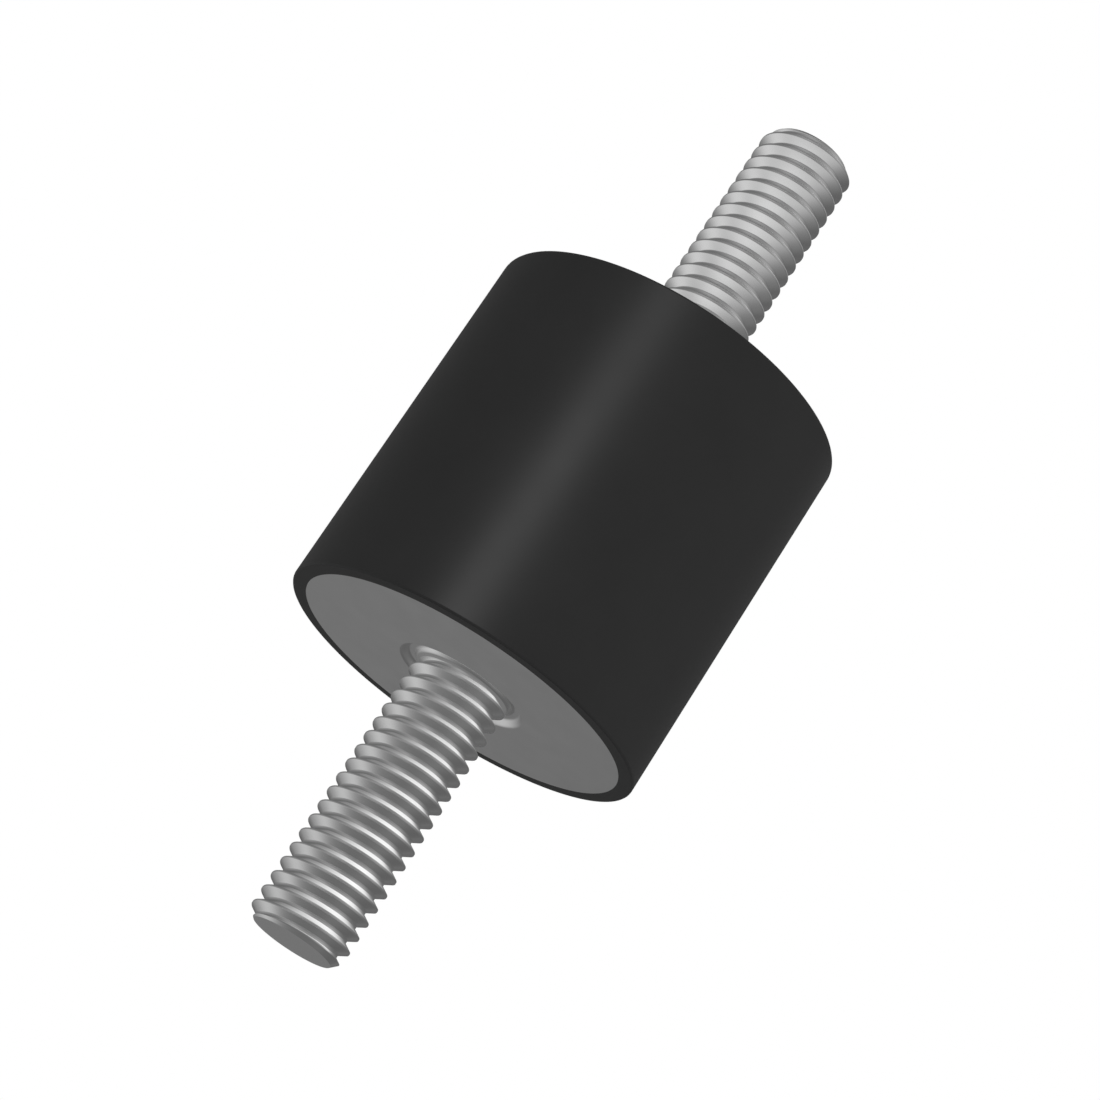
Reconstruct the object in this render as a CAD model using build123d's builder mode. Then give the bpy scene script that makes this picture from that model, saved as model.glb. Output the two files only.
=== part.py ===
from build123d import *
import os

# Cylindrical rubber buffer with a threaded steel stud at each end, in millimetres.
# The buffer's axis is +Z and the origin is the middle of the rubber.
# The two ends are alike, so the lower end is the upper end mirrored in the XY plane.

# Rubber cylinder, with a narrow lip round each plate
rubber_diameter = 30.0
rubber_height = 30.0
rubber_edge_radius = 0.2
lip_width = 1.25

# Steel end plate, bonded into the rubber and flush with its end
plate_thickness = 2.0
plate_back_edge_radius = 0.5

# Stud: reach from the plate's outer face to the tip, and the thread's major diameter
stud_diameter = 8.0
stud_reach = 23.0
tip_chamfer = 0.7

# Shoulder that fills the plate's hole and ends flush with the plate's outer face
shoulder_diameter = 8.5

# Round-bottomed relief groove in the plate's outer face, around the shoulder, with a soft mouth
relief_width = 0.9
relief_depth = 0.6
relief_mouth_radius = 0.15

# Flat head behind the plate, buried in the rubber
head_diameter = 13.0
head_thickness = 2.0
head_edge_radius = 0.6

# Radii and levels that follow from the sizes above
rubber_radius = rubber_diameter / 2
plate_radius = rubber_radius - lip_width
stud_radius = stud_diameter / 2
head_radius = head_diameter / 2
shoulder_radius = shoulder_diameter / 2
relief_centre_radius = shoulder_radius + relief_width - relief_depth
face_level = rubber_height / 2
plate_back_level = face_level - plate_thickness
head_back_level = plate_back_level - head_thickness

# Blank of an end plate: punched disc with its buried edge rounded
with BuildPart() as plate_blank:
    with BuildSketch(Plane.XY.offset(plate_back_level)):
        Circle(plate_radius)
    extrude(amount=plate_thickness)
    fillet(plate_blank.edges().group_by(Axis.Z)[0], plate_back_edge_radius)

# End plate: the blank with the hole for the stud's shoulder and the relief around it.
# The relief's circle starts above the face, so that its seam is clear of the rounded mouth.
with BuildPart() as upper_end_plate:
    add(plate_blank.part)
    with BuildSketch(Plane.XY.offset(plate_back_level)):
        Circle(shoulder_radius)
    extrude(amount=plate_thickness, mode=Mode.SUBTRACT)
    with BuildSketch(Plane.XZ):
        with Locations(Location((relief_centre_radius, face_level, 0), (0, 0, 90))):
            Circle(relief_depth)
    revolve(axis=Axis.Z, mode=Mode.SUBTRACT)
    relief_mouth = upper_end_plate.edges().group_by(Axis.Z)[-1].sort_by(SortBy.RADIUS)[0]
    fillet(relief_mouth, relief_mouth_radius)

# Stud: head, shoulder, threaded shank and chamfered tip in one piece
with BuildPart() as upper_stud:
    with BuildSketch(Plane.XY.offset(head_back_level)):
        Circle(head_radius)
    extrude(amount=head_thickness)
    fillet(upper_stud.edges().group_by(Axis.Z)[0], head_edge_radius)
    with BuildSketch(Plane.XY.offset(plate_back_level)):
        Circle(shoulder_radius)
    extrude(amount=plate_thickness)
    with BuildSketch(Plane.XY.offset(face_level)):
        Circle(stud_radius)
    extrude(amount=stud_reach)
    chamfer(upper_stud.edges().group_by(Axis.Z)[-1], tip_chamfer)

with BuildPart() as lower_end_plate:
    mirror(upper_end_plate.part, about=Plane.XY)

with BuildPart() as lower_stud:
    mirror(upper_stud.part, about=Plane.XY)

# Rubber: moulded and bonded round the plates and the stud heads, so it takes their exact form
with BuildPart() as rubber_body:
    Cylinder(rubber_radius, rubber_height)
    fillet(rubber_body.edges().filter_by(GeomType.CIRCLE), rubber_edge_radius)
    for insert in (plate_blank, upper_stud):
        add(insert.part, mode=Mode.SUBTRACT)
        mirror(insert.part, about=Plane.XY, mode=Mode.SUBTRACT)

rubber_body.part.label = "rubber_body"
upper_end_plate.part.label = "upper_end_plate"
lower_end_plate.part.label = "lower_end_plate"
upper_stud.part.label = "upper_stud"
lower_stud.part.label = "lower_stud"

os.makedirs("parts", exist_ok=True)
for piece in (rubber_body, upper_end_plate, lower_end_plate, upper_stud, lower_stud):
    export_step(piece.part, f"parts/{piece.part.label}.step")
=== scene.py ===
"""Rubber buffer with a threaded steel stud at each end, in metres, with its axis upright along Z.

The lower end faces the camera. Each solid of the frame is replaced by a piece of the same size:
the moulded rubber, the two plates bonded into it and the two studs with their cut threads.
"""
import math

import bpy
from mathutils import Matrix, Vector


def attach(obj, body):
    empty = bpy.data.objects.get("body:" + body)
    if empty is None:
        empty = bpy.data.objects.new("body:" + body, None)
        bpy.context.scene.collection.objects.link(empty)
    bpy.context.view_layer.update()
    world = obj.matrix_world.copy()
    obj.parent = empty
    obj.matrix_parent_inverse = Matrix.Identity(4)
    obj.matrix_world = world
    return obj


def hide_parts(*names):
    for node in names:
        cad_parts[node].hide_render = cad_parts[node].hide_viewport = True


MM = 0.001

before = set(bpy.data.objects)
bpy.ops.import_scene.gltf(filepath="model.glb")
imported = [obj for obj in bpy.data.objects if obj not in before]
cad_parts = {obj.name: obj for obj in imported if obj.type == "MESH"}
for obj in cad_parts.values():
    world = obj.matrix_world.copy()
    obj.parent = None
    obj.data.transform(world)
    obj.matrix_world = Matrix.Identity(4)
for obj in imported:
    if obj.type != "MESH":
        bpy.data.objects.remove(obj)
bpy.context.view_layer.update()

# Sizes of the object in millimetres, the same as in the solids
RUBBER_RADIUS = 15.0
FACE_LEVEL = 15.0
RUBBER_EDGE = 0.2
LIP_WIDTH = 1.25
PLATE_RADIUS = RUBBER_RADIUS - LIP_WIDTH
PLATE_THICKNESS = 2.0
PLATE_BACK = FACE_LEVEL - PLATE_THICKNESS
PLATE_BACK_EDGE = 0.5
SHOULDER_RADIUS = 4.25
HEAD_RADIUS = 6.5
HEAD_THICKNESS = 2.0
HEAD_BACK = PLATE_BACK - HEAD_THICKNESS
HEAD_EDGE = 0.6
STUD_REACH = 23.0
STUD_TIP = FACE_LEVEL + STUD_REACH
TIP_CHAMFER = 0.7

# Relief groove in the plate's face, softer than in the solids: its depth, the radii of its inner end,
# its floor and its outer end, and how far its inner end lies below the face
RELIEF_DEPTH = 0.55
RELIEF_INSIDE = 3.91
RELIEF_FLOOR = (4.45, 4.8)
RELIEF_OUTSIDE = 5.42
SHOULDER_SINK = 0.15

# Rolled metric thread of 8 mm by 1.25 mm, right-hand at both ends
THREAD_RADIUS = 4.0
THREAD_PITCH = 1.25
THREAD_ROOT_RADIUS = 3.33
CREST_FLAT = 0.16
ROOT_FLAT = 0.25
CREST_ROUNDING = 0.02
ROOT_ROUNDING = 0.02

# Level of one crest on the +X side of each stud, which sets how its thread is turned
LOWER_CREST_LEVEL = 1.036
UPPER_CREST_LEVEL = 1.169

# Edges round a full turn of a turned piece and of the thread
TURN_STEPS = 192
THREAD_STEPS = 96

# Steps across the stud's and the plate's share of the groove, and across a rounded edge
STUD_GROOVE_STEPS = 4
PLATE_GROOVE_STEPS = 20
ROUNDING_STEPS = 4

# Edges that turn by less than this, in degrees, are shaded smooth
SMOOTH_ANGLE = 32

# How near a point lies to what picks it, in millimetres, and how near points are merged, in metres
PICK_REACH = 0.004
MERGE_REACH = 0.001 * MM


def start_alone():
    """Leaves nothing selected, so that the next operator acts on the new piece only, by its vertices."""
    if bpy.context.object and bpy.context.object.mode != "OBJECT":
        bpy.ops.object.mode_set(mode="OBJECT")
    bpy.ops.object.select_all(action="DESELECT")
    bpy.context.tool_settings.mesh_select_mode = (True, False, False)


def pick(piece, kind, test):
    """Selects the vertices or edges of a piece in edit mode that pass a test of radius and level in mm."""
    bpy.ops.object.mode_set(mode="EDIT")
    bpy.ops.mesh.select_mode(type="VERT" if kind == "vertices" else "EDGE")
    bpy.ops.mesh.select_all(action="DESELECT")
    bpy.ops.object.mode_set(mode="OBJECT")
    mesh = piece.data
    place = [(math.hypot(v.co.x, v.co.y) / MM, v.co.z / MM) for v in mesh.vertices]
    if kind == "vertices":
        for vertex in mesh.vertices:
            vertex.select = test(*place[vertex.index])
    else:
        for edge in mesh.edges:
            edge.select = all(test(*place[i]) for i in edge.vertices)
    bpy.ops.object.mode_set(mode="EDIT")


def on_ring(radius, level):
    """A test for points that lie on one ring of a turned piece."""
    return lambda r, z: abs(r - radius) < PICK_REACH and abs(z - level) < PICK_REACH


def turned(name, rings, ends):
    """Extrudes a ring along the axis from one (radius, level) to the next, as on a lathe.

    The ends are closed with a flat face, or joined to each other for a piece with a hole.
    """
    start_alone()
    radius, level = rings[0]
    bpy.ops.mesh.primitive_circle_add(vertices=TURN_STEPS, radius=radius * MM, location=(0, 0, level * MM))
    piece = bpy.context.object
    piece.name = name
    bpy.ops.object.transform_apply(location=True)
    bpy.ops.object.mode_set(mode="EDIT")
    bpy.ops.mesh.select_all(action="SELECT")
    if ends == "flat":
        bpy.ops.mesh.edge_face_add()
        bpy.ops.mesh.select_all(action="DESELECT")
        pick(piece, "edges", on_ring(radius, level))
    for (r0, z0), (r1, z1) in zip(rings, rings[1:]):
        bpy.ops.mesh.extrude_edges_move(TRANSFORM_OT_translate={"value": (0, 0, (z1 - z0) * MM)})
        bpy.ops.transform.resize(value=(r1 / r0, r1 / r0, 1), center_override=(0, 0, z1 * MM))
    if ends == "flat":
        bpy.ops.mesh.edge_face_add()
    bpy.ops.mesh.select_all(action="SELECT")
    bpy.ops.mesh.remove_doubles(threshold=MERGE_REACH)
    bpy.ops.mesh.select_all(action="SELECT")
    bpy.ops.mesh.normals_make_consistent(inside=False)
    bpy.ops.object.mode_set(mode="OBJECT")
    return piece


def round_ring(piece, radius, level, size):
    """Rounds the corner that one ring of a turned piece makes."""
    pick(piece, "edges", on_ring(radius, level))
    bpy.ops.mesh.bevel(offset=size * MM, segments=ROUNDING_STEPS, profile=0.5, affect="EDGES")
    bpy.ops.object.mode_set(mode="OBJECT")


def combine(piece, tool, operation):
    """Applies a Boolean with another closed piece, which is then deleted."""
    start_alone()
    piece.select_set(True)
    bpy.context.view_layer.objects.active = piece
    cut = piece.modifiers.new("Combine", "BOOLEAN")
    cut.object = tool
    cut.operation = operation
    cut.solver = "EXACT"
    bpy.ops.object.modifier_apply(modifier=cut.name)
    bpy.data.objects.remove(tool)


def finish_surface(piece, flat_faces):
    """Shades a finished piece smooth, with its real corners kept sharp.

    Where flat faces are asked for, a rounded edge bends only its own narrow faces in the shading.
    """
    start_alone()
    piece.select_set(True)
    bpy.context.view_layer.objects.active = piece
    bpy.ops.object.shade_smooth_by_angle(angle=math.radians(SMOOTH_ANGLE))
    if flat_faces:
        shading = piece.modifiers.new("Flat faces", "WEIGHTED_NORMAL")
        shading.keep_sharp = True
        bpy.ops.object.modifier_apply(modifier=shading.name)
    piece.select_set(False)


def groove_rings(end, first_radius, last_radius, steps):
    """Rings across the soft round groove in a plate's face, from one radius to another.

    Its two sides follow half a wave of a cosine each, so that they run smoothly into floor and face.
    """
    rings = []
    for step in range(steps + 1):
        radius = first_radius + (last_radius - first_radius) * step / steps
        if radius < RELIEF_FLOOR[0]:
            away = (RELIEF_FLOOR[0] - radius) / (RELIEF_FLOOR[0] - RELIEF_INSIDE)
            edge_depth = SHOULDER_SINK
        else:
            away = max(radius - RELIEF_FLOOR[1], 0) / (RELIEF_OUTSIDE - RELIEF_FLOOR[1])
            edge_depth = 0.0
        hollow = (1 + math.cos(math.pi * away)) / 2
        depth = edge_depth + (RELIEF_DEPTH - edge_depth) * hollow
        rings.append((radius, end * (FACE_LEVEL - depth)))
    return rings


def thread_rod(crest_level, low, high):
    """Draws one pitch of the thread's profile, winds it up the axis and trims it between two levels."""
    flank = (THREAD_PITCH - CREST_FLAT - ROOT_FLAT) / 2
    # Turns that the winding runs past each level before it is trimmed
    spare_below = 1.1
    spare_above = 0.1
    first_root = crest_level - THREAD_PITCH / 2
    first_root += math.floor((low - first_root) / THREAD_PITCH - spare_below) * THREAD_PITCH
    turns = math.ceil((high - first_root) / THREAD_PITCH + spare_above)
    outline = [
        (THREAD_ROOT_RADIUS, 0.0),
        (THREAD_ROOT_RADIUS, ROOT_FLAT / 2),
        (THREAD_RADIUS, ROOT_FLAT / 2 + flank),
        (THREAD_RADIUS, ROOT_FLAT / 2 + flank + CREST_FLAT),
        (THREAD_ROOT_RADIUS, THREAD_PITCH - ROOT_FLAT / 2),
        (THREAD_ROOT_RADIUS, THREAD_PITCH),
    ]
    start_alone()
    bpy.ops.mesh.primitive_plane_add(size=MM, location=(0, 0, 0))
    rod = bpy.context.object
    bpy.ops.object.mode_set(mode="EDIT")
    bpy.ops.mesh.select_all(action="SELECT")
    bpy.ops.mesh.merge(type="CENTER")
    bpy.ops.mesh.select_all(action="SELECT")
    bpy.ops.transform.translate(value=(THREAD_ROOT_RADIUS * MM, 0, first_root * MM))
    for (r0, z0), (r1, z1) in zip(outline, outline[1:]):
        step = ((r1 - r0) * MM, 0, (z1 - z0) * MM)
        bpy.ops.mesh.extrude_region_move(TRANSFORM_OT_translate={"value": step})
    for radius, rounding in ((THREAD_RADIUS, CREST_ROUNDING), (THREAD_ROOT_RADIUS, ROOT_ROUNDING)):
        corners = [first_root + z for r, z in outline[1:-1] if r == radius]
        pick(rod, "vertices", lambda r, z: any(abs(z - c) < PICK_REACH for c in corners))
        bpy.ops.mesh.bevel(offset=rounding * MM, segments=1, affect="VERTICES")
    bpy.ops.object.mode_set(mode="OBJECT")
    wind = rod.modifiers.new("Wind", "SCREW")
    wind.axis = "Z"
    wind.angle = 2 * math.pi
    wind.screw_offset = THREAD_PITCH * MM
    wind.iterations = turns
    wind.steps = THREAD_STEPS
    wind.render_steps = THREAD_STEPS
    wind.use_merge_vertices = True
    wind.merge_threshold = MERGE_REACH
    bpy.ops.object.modifier_apply(modifier=wind.name)
    bpy.ops.object.mode_set(mode="EDIT")
    bpy.ops.mesh.select_all(action="SELECT")
    bpy.ops.mesh.remove_doubles(threshold=MERGE_REACH)
    for level, side in ((low, -1), (high, 1)):
        bpy.ops.mesh.select_all(action="SELECT")
        bpy.ops.mesh.bisect(
            plane_co=(0, 0, level * MM), plane_no=(0, 0, side), use_fill=True, clear_outer=True,
            threshold=MERGE_REACH,
        )
    bpy.ops.mesh.select_all(action="SELECT")
    bpy.ops.mesh.normals_make_consistent(inside=False)
    bpy.ops.object.mode_set(mode="OBJECT")
    return rod


def threaded_stud(name, end, crest_level):
    """A stud with its buried head, its shoulder and its thread out to the chamfered tip.

    The end is 1 for the upper stud and -1 for the lower one.
    """
    # The rod starts below the face and runs past the tip, where the envelope cuts the end and its
    # chamfer. The envelope stands clear of the crests everywhere else.
    below_face = 1.0
    past_tip = 0.5
    clear = 0.3
    inner = end * (FACE_LEVEL - below_face)
    outer = end * (STUD_TIP + past_tip)
    rod = thread_rod(crest_level, min(inner, outer), max(inner, outer))
    envelope = turned(
        "Envelope",
        [
            (THREAD_RADIUS + clear, end * PLATE_BACK),
            (THREAD_RADIUS + clear, end * (STUD_TIP - TIP_CHAMFER - clear)),
            (THREAD_RADIUS - TIP_CHAMFER, end * STUD_TIP),
        ],
        "flat",
    )
    combine(rod, envelope, "INTERSECT")
    stud = turned(
        name,
        [
            (HEAD_RADIUS, end * HEAD_BACK),
            (HEAD_RADIUS, end * PLATE_BACK),
            (SHOULDER_RADIUS, end * PLATE_BACK),
        ]
        + groove_rings(end, SHOULDER_RADIUS, RELIEF_INSIDE, STUD_GROOVE_STEPS),
        "flat",
    )
    round_ring(stud, HEAD_RADIUS, end * HEAD_BACK, HEAD_EDGE)
    combine(stud, rod, "UNION")
    finish_surface(stud, False)
    return stud


def end_plate(name, end):
    """A punched disc with its buried edge rounded, its hole and the relief groove round the stud."""
    plate = turned(
        name,
        [
            (SHOULDER_RADIUS, end * PLATE_BACK),
            (PLATE_RADIUS, end * PLATE_BACK),
            (PLATE_RADIUS, end * FACE_LEVEL),
        ]
        + groove_rings(end, RELIEF_OUTSIDE, SHOULDER_RADIUS, PLATE_GROOVE_STEPS)
        + [(SHOULDER_RADIUS, end * PLATE_BACK)],
        "joined",
    )
    round_ring(plate, PLATE_RADIUS, end * PLATE_BACK, PLATE_BACK_EDGE)
    finish_surface(plate, True)
    return plate


def rubber_block():
    """The moulded cylinder, with a pocket at each end for the plate and the head of the stud."""
    block = turned(
        "Rubber block",
        [
            (HEAD_RADIUS, -HEAD_BACK),
            (HEAD_RADIUS, -PLATE_BACK),
            (PLATE_RADIUS, -PLATE_BACK),
            (PLATE_RADIUS, -FACE_LEVEL),
            (RUBBER_RADIUS, -FACE_LEVEL),
            (RUBBER_RADIUS, FACE_LEVEL),
            (PLATE_RADIUS, FACE_LEVEL),
            (PLATE_RADIUS, PLATE_BACK),
            (HEAD_RADIUS, PLATE_BACK),
            (HEAD_RADIUS, HEAD_BACK),
        ],
        "flat",
    )
    for end in (-1, 1):
        round_ring(block, RUBBER_RADIUS, end * FACE_LEVEL, RUBBER_EDGE)
        round_ring(block, PLATE_RADIUS, end * PLATE_BACK, PLATE_BACK_EDGE)
        round_ring(block, HEAD_RADIUS, end * HEAD_BACK, HEAD_EDGE)
    finish_surface(block, True)
    return block


def linear(hex_colour):
    """Turns an sRGB hex colour into linear light."""
    parts = [int(hex_colour[i:i + 2], 16) / 255 for i in (1, 3, 5)]
    return [c / 12.92 if c <= 0.04045 else ((c + 0.055) / 1.055) ** 2.4 for c in parts] + [1.0]


def add_node(tree, kind, settings=None, links=None):
    """Adds a node, gives it its settings, by input or by property, and links its inputs."""
    node = tree.nodes.new(kind)
    for key, value in (settings or {}).items():
        if isinstance(key, str) and hasattr(node, key):
            setattr(node, key, value)
        else:
            node.inputs[key].default_value = value
    for key, (source, output) in (links or {}).items():
        tree.links.new(source.outputs[output], node.inputs[key])
    return node


def new_material(name):
    """An empty node material and its node tree."""
    material = bpy.data.materials.new(name)
    material.use_nodes = True
    material.node_tree.nodes.clear()
    return material, material.node_tree


# Surfaces: the sizes in millimetres of the soft clouds that vary them and of the fine grain on them,
# and the range in which most values of a noise lie
RUBBER_CLOUD = 6.0
RUBBER_GRAIN = 0.25
ZINC_CLOUD = 2.5
DULL_ZINC_GRAIN = 0.25
BRIGHT_ZINC_GRAIN = 0.2
NOISE_LOW = 0.3
NOISE_HIGH = 0.7


def moulded_rubber():
    """Natural rubber filled with carbon black, moulded: a satin black with a soft, wide sheen."""
    material, tree = new_material("Moulded black rubber")
    place = add_node(tree, "ShaderNodeTexCoord")
    cloud = add_node(
        tree, "ShaderNodeTexNoise",
        {"Scale": 1000 / RUBBER_CLOUD, "Detail": 3.0}, {"Vector": (place, "Object")},
    )
    grain = add_node(
        tree, "ShaderNodeTexNoise",
        {"Scale": 1000 / RUBBER_GRAIN, "Detail": 2.0}, {"Vector": (place, "Object")},
    )
    tone = add_node(
        tree, "ShaderNodeMix",
        {"data_type": "RGBA", 6: linear("#2A2A2A"), 7: linear("#2E2E2E")}, {"Factor": (cloud, "Fac")},
    )
    satin = add_node(
        tree, "ShaderNodeMapRange",
        {"From Min": NOISE_LOW, "From Max": NOISE_HIGH, "To Min": 0.37, "To Max": 0.41},
        {"Value": (cloud, "Fac")},
    )
    bump = add_node(
        tree, "ShaderNodeBump", {"Strength": 0.25, "Distance": 0.004 * MM}, {"Height": (grain, "Fac")}
    )
    shader = add_node(
        tree, "ShaderNodeBsdfPrincipled",
        {"IOR": 1.5, "Specular IOR Level": 0.06},
        {"Base Color": (tone, 2), "Roughness": (satin, "Result"), "Normal": (bump, "Normal")},
    )
    add_node(tree, "ShaderNodeOutputMaterial", None, {"Surface": (shader, "BSDF")})
    return material


def zinc_plated_steel(name, colour, smoothest, roughest, grain_size):
    """Steel with a thin zinc coat: pale grey, with the fine crystal grain that dulls its shine."""
    material, tree = new_material(name)
    place = add_node(tree, "ShaderNodeTexCoord")
    cloud = add_node(
        tree, "ShaderNodeTexNoise",
        {"Scale": 1000 / ZINC_CLOUD, "Detail": 4.0}, {"Vector": (place, "Object")},
    )
    grain = add_node(
        tree, "ShaderNodeTexNoise",
        {"Scale": 1000 / grain_size, "Detail": 2.0}, {"Vector": (place, "Object")},
    )
    gloss = add_node(
        tree, "ShaderNodeMapRange",
        {"From Min": NOISE_LOW, "From Max": NOISE_HIGH, "To Min": smoothest, "To Max": roughest},
        {"Value": (cloud, "Fac")},
    )
    bump = add_node(
        tree, "ShaderNodeBump", {"Strength": 0.2, "Distance": 0.002 * MM}, {"Height": (grain, "Fac")}
    )
    shader = add_node(
        tree, "ShaderNodeBsdfPrincipled",
        {"Base Color": linear(colour), "Metallic": 1.0},
        {"Roughness": (gloss, "Result"), "Normal": (bump, "Normal")},
    )
    add_node(tree, "ShaderNodeOutputMaterial", None, {"Surface": (shader, "BSDF")})
    return material


# Pieces, each in the place of its solid
rubber = moulded_rubber()
plate_steel = zinc_plated_steel("Dull zinc plated plate", "#DCDCDC", 0.28, 0.34, DULL_ZINC_GRAIN)
stud_steel = zinc_plated_steel("Bright zinc plated thread", "#DCDCDC", 0.12, 0.15, BRIGHT_ZINC_GRAIN)

pieces = [
    (rubber_block(), "rubber_body", "rubber", rubber),
    (end_plate("Lower plate", -1), "lower_end_plate", "plate_steel", plate_steel),
    (end_plate("Upper plate", 1), "upper_end_plate", "plate_steel", plate_steel),
    (threaded_stud("Lower stud", -1, LOWER_CREST_LEVEL), "lower_stud", "stud_steel", stud_steel),
    (threaded_stud("Upper stud", 1, UPPER_CREST_LEVEL), "upper_stud", "stud_steel", stud_steel),
]
# No piece shows in the gloss of another, as in the photograph
for piece, solid, finish_slot, material in pieces:
    piece.name = piece.name.replace(" ", "_")
    piece.data.materials.clear()
    piece.data.materials.append(material)
    piece.visible_glossy = False
    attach(piece, "root")
    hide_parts(solid)

# Camera: below the object, looking up at its lower end, and rolled as the photograph is.
# Its place is in millimetres and its angles are in degrees, as fitted to the object's outlines.
CAMERA_PLACE = (-0.022, -216.409, -75.894)
CAMERA_RISE = 18.825
CAMERA_ROLL = 33.395
scene = bpy.context.scene
scene.view_settings.view_transform = "Standard"
start_alone()
bpy.ops.object.camera_add(location=[c * MM for c in CAMERA_PLACE])
camera = bpy.context.object
camera.name = "Camera"
look_up = Matrix.Rotation(math.radians(90 + CAMERA_RISE), 3, "X")
roll = Matrix.Rotation(math.radians(CAMERA_ROLL), 3, "Z")
camera.rotation_euler = (look_up @ roll).to_euler()
camera.data.lens = 98.25
camera.data.sensor_width = 36.0
camera.data.clip_start = 0.01
scene.camera = camera

# Plain pale floor, well below the object and wide enough to meet the horizon, in metres
FLOOR_WIDTH = 30
FLOOR_LEVEL = -0.3
bpy.ops.mesh.primitive_plane_add(size=FLOOR_WIDTH, location=(0, 0, FLOOR_LEVEL))
floor = bpy.context.object
floor.name = "Floor"
floor_paint, floor_tree = new_material("Matt pale floor")
matt = add_node(
    floor_tree, "ShaderNodeBsdfPrincipled",
    {"Base Color": linear("#E6E6E6"), "Roughness": 0.9, "Specular IOR Level": 0.1},
)
add_node(floor_tree, "ShaderNodeOutputMaterial", None, {"Surface": (matt, "BSDF")})
floor.data.materials.append(floor_paint)
floor.visible_glossy = False


def soft_lamp(name, towards, distance, size, power):
    """A square soft box at a distance along a direction, turned to face the object.

    The distance and the size are in metres and the power is in watts.
    """
    start_alone()
    direction = Vector(towards).normalized()
    bpy.ops.object.light_add(type="AREA", location=direction * distance)
    lamp = bpy.context.object
    lamp.name = name
    lamp.rotation_euler = direction.to_track_quat("Z", "Y").to_euler()
    lamp.data.size = size
    lamp.data.energy = power
    return lamp


# The two lamps light the rubber and the floor only, because the metal shows nothing but what it
# mirrors. The key adds a sheen and no other light.
matt_things = bpy.data.collections.new("Matt things")
for thing in (pieces[0][0], floor):
    matt_things.objects.link(thing)
key = soft_lamp("Key_box", (-0.38, -0.897, 0.225), 0.6, 0.20, 2.9)
key.visible_diffuse = False
fill = soft_lamp("Fill_box", (0.0, -0.82, 0.56), 0.7, 0.45, 0.1)
for lamp in (key, fill):
    lamp.light_linking.receiver_collection = matt_things

# What gloss mirrors: a dim studio with soft lights and two ring lights. The first soft light is the
# part of the white backdrop that shows along the object's outline. Azimuths are counted from the
# front towards +X, and all angles are in degrees.
ROOM_GLOW = 0.15
SOFT_BOXES = [
    # azimuth, height, spread, strength
    (180, 19, 3, 1.00),
    (180, -24, 7, 0.10),
    (-123, -18, 22, 0.37),
    (-112, -41, 16, 0.29),
    (-44, -19, 34, 0.17),
    (-21, 27, 18, 0.22),
    (52, 24, 30, 0.20),
    (73, 32, 19, 0.16),
    (71, -34, 18, 0.16),
    (143, 46, 12, 0.40),
    (95, 62, 11, 0.34),
    (-66, 74, 16, 0.23),
]
RING_LIGHTS = [
    # azimuth and height of its axis, radius, width, azimuth and height of its bright part, spread, strength
    (179, -63.5, 55.5, 3.0, -6.7, -50.8, 38, 0.84),
    (182, 59.4, 22.1, 2.7, 60, 58, 30, 2.1),
]

# Strength of the light on everything that isn't mirrored, and how much it grows towards +X
AMBIENT = 0.97
AMBIENT_TILT = 0.29


def aimed(azimuth, height):
    """Unit vector towards an azimuth and a height, both in degrees."""
    azimuth = math.radians(azimuth)
    height = math.radians(height)
    return (
        math.sin(azimuth) * math.cos(height),
        -math.cos(azimuth) * math.cos(height),
        math.sin(height),
    )


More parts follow.
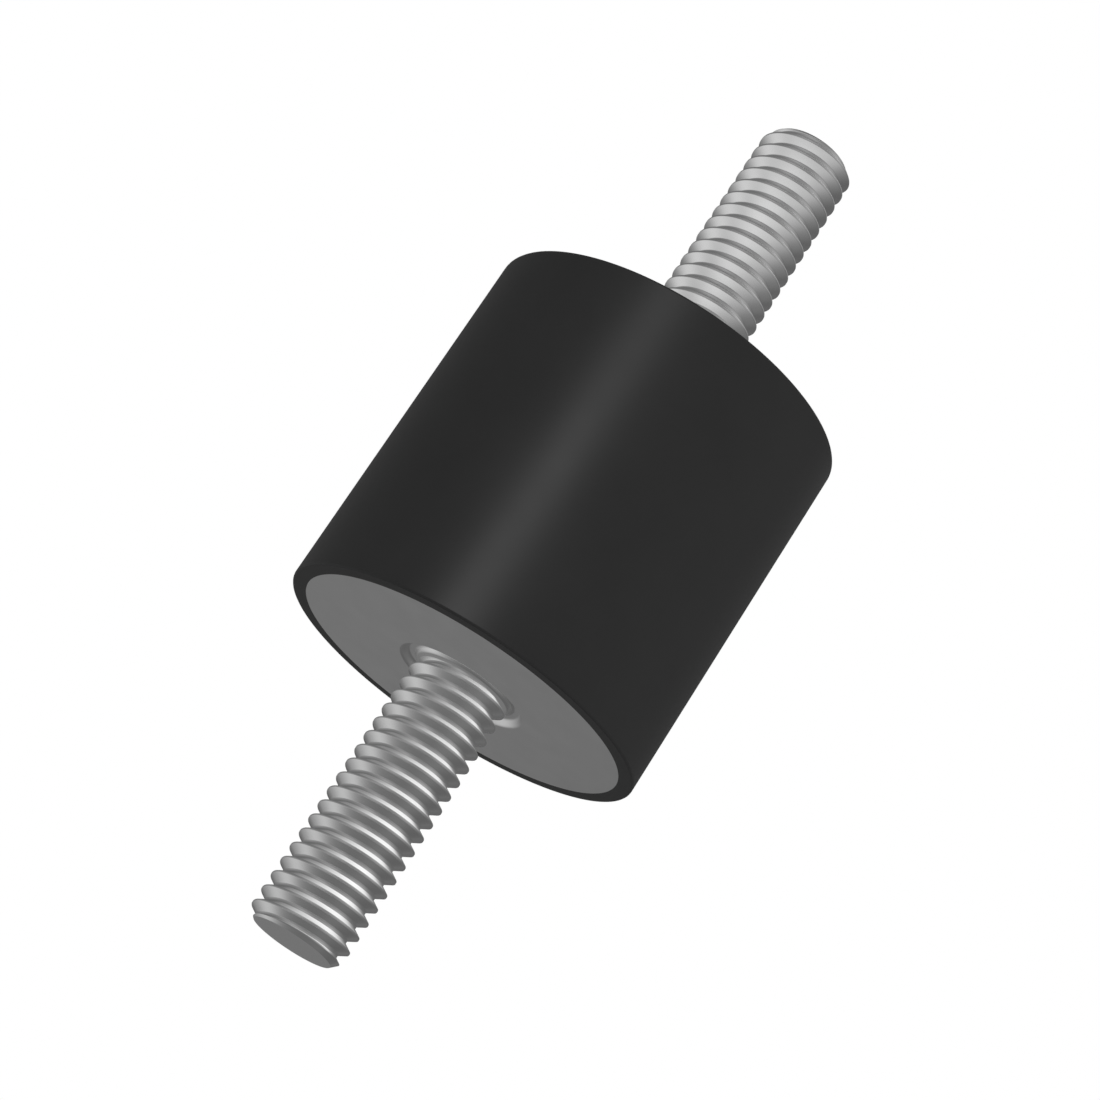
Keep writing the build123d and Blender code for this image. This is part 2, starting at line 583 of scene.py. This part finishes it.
def lit(tree, outlook, glow, azimuth, height, spread, strength, ring=None):
    """Adds to the studio's glow one soft light, which fades over its spread from its middle outwards.

    With a ring, given by the azimuth and height of its axis, its radius and its width, only the part
    of the light that lies along that ring shines.
    """
    fade = 1 / math.radians(spread) ** 2
    near = add_node(
        tree, "ShaderNodeVectorMath",
        {"operation": "DOT_PRODUCT", 1: aimed(azimuth, height)}, {0: (outlook, "Generated")},
    )
    exponent = add_node(
        tree, "ShaderNodeMath", {"operation": "MULTIPLY_ADD", 1: fade, 2: -fade}, {0: (near, "Value")}
    )
    if ring:
        axis_azimuth, axis_height, radius, width = ring
        rim = math.sin(math.radians(radius)) * math.radians(width)
        along = add_node(
            tree, "ShaderNodeVectorMath",
            {"operation": "DOT_PRODUCT", 1: aimed(axis_azimuth, axis_height)}, {0: (outlook, "Generated")},
        )
        off = add_node(
            tree, "ShaderNodeMath",
            {"operation": "MULTIPLY_ADD", 1: 1 / rim, 2: -math.cos(math.radians(radius)) / rim},
            {0: (along, "Value")},
        )
        square = add_node(tree, "ShaderNodeMath", {"operation": "MULTIPLY"}, {0: (off, 0), 1: (off, 0)})
        exponent = add_node(
            tree, "ShaderNodeMath",
            {"operation": "MULTIPLY_ADD", 1: -0.5}, {0: (square, 0), 2: (exponent, 0)},
        )
    light = add_node(tree, "ShaderNodeMath", {"operation": "EXPONENT"}, {0: (exponent, 0)})
    return add_node(
        tree, "ShaderNodeMath", {"operation": "MULTIPLY_ADD", 1: strength}, {0: (light, 0), 2: (glow, 0)}
    )


# White for the camera, the soft lights for what is mirrored, and a nearly even light for the rest
world = bpy.data.worlds.new("Studio")
scene.world = world
world.use_nodes = True
sky = world.node_tree
sky.nodes.clear()
path = add_node(sky, "ShaderNodeLightPath")
outlook = add_node(sky, "ShaderNodeTexCoord")
mirrored = add_node(sky, "ShaderNodeValue")
mirrored.outputs[0].default_value = ROOM_GLOW
for azimuth, height, spread, strength in SOFT_BOXES:
    mirrored = lit(sky, outlook, mirrored, azimuth, height, spread, strength)
for *ring, azimuth, height, spread, strength in RING_LIGHTS:
    mirrored = lit(sky, outlook, mirrored, azimuth, height, spread, strength, ring)
shown = add_node(
    sky, "ShaderNodeMath", {"operation": "MAXIMUM"}, {0: (path, "Is Camera Ray"), 1: (mirrored, 0)}
)
seen = add_node(
    sky, "ShaderNodeMath", {"operation": "MAXIMUM"},
    {0: (path, "Is Camera Ray"), 1: (path, "Is Glossy Ray")},
)
seen_through = add_node(
    sky, "ShaderNodeMath", {"operation": "MAXIMUM"},
    {0: (seen, 0), 1: (path, "Is Transmission Ray")},
)
sideways = add_node(
    sky, "ShaderNodeVectorMath", {"operation": "DOT_PRODUCT", 1: (1, 0, 0)}, {0: (outlook, "Generated")}
)
nearly_even = add_node(
    sky, "ShaderNodeMath",
    {"operation": "MULTIPLY_ADD", 1: AMBIENT_TILT, 2: AMBIENT}, {0: (sideways, "Value")},
)
ambient = add_node(
    sky, "ShaderNodeBackground", {"Color": linear("#FFFFFF")}, {"Strength": (nearly_even, 0)}
)
studio = add_node(sky, "ShaderNodeBackground", {"Color": linear("#FFFFFF")}, {"Strength": (shown, 0)})
blend = add_node(
    sky, "ShaderNodeMixShader", None, {0: (seen_through, 0), 1: (ambient, 0), 2: (studio, 0)}
)
add_node(sky, "ShaderNodeOutputWorld", None, {"Surface": (blend, 0)})
